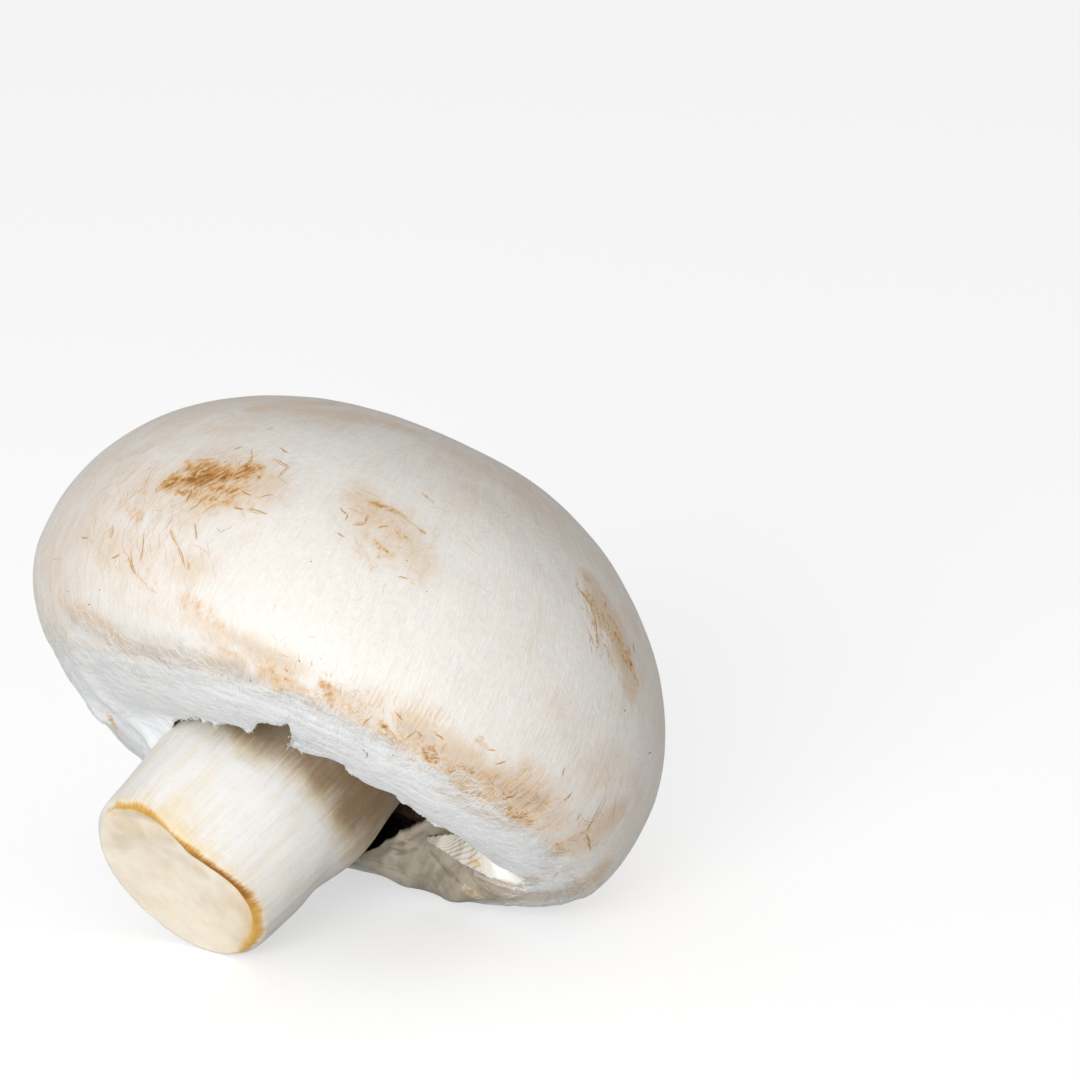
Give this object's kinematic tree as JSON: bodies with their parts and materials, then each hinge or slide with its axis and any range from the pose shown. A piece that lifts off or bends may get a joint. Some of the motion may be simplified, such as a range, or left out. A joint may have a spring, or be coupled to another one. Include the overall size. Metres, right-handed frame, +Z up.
{
  "type": "button mushroom",
  "caption": "Picked button mushroom lying on its side: a smooth domed cap over dark gills, a partial veil torn open beside the stem, and a short cut stem.",
  "frame": {"origin": "on the surface it lies on, under the middle of its bounding box", "axes": "+Z up as it lies; +Y the way the top of the cap leans, so the cut end of the stem points towards -Y; +X across the cap"},
  "size_m": [0.054, 0.049, 0.0429],
  "materials": {
    "cap_skin": "warm off-white mushroom skin, satin, with radial fibres and tan to brown bruises",
    "gill_tissue": "dark chocolate brown, thin matte blades",
    "veil_fleece": "cool white cottony membrane, matte",
    "stem_flesh": "cream flesh with lengthwise fibres, amber where the cut edge has dried"
  },
  "bodies": {
    "root": {"cap": "cap_skin", "gills": "gill_tissue", "veil": "veil_fleece", "stem": "stem_flesh"}
  },
  "joints": []
}
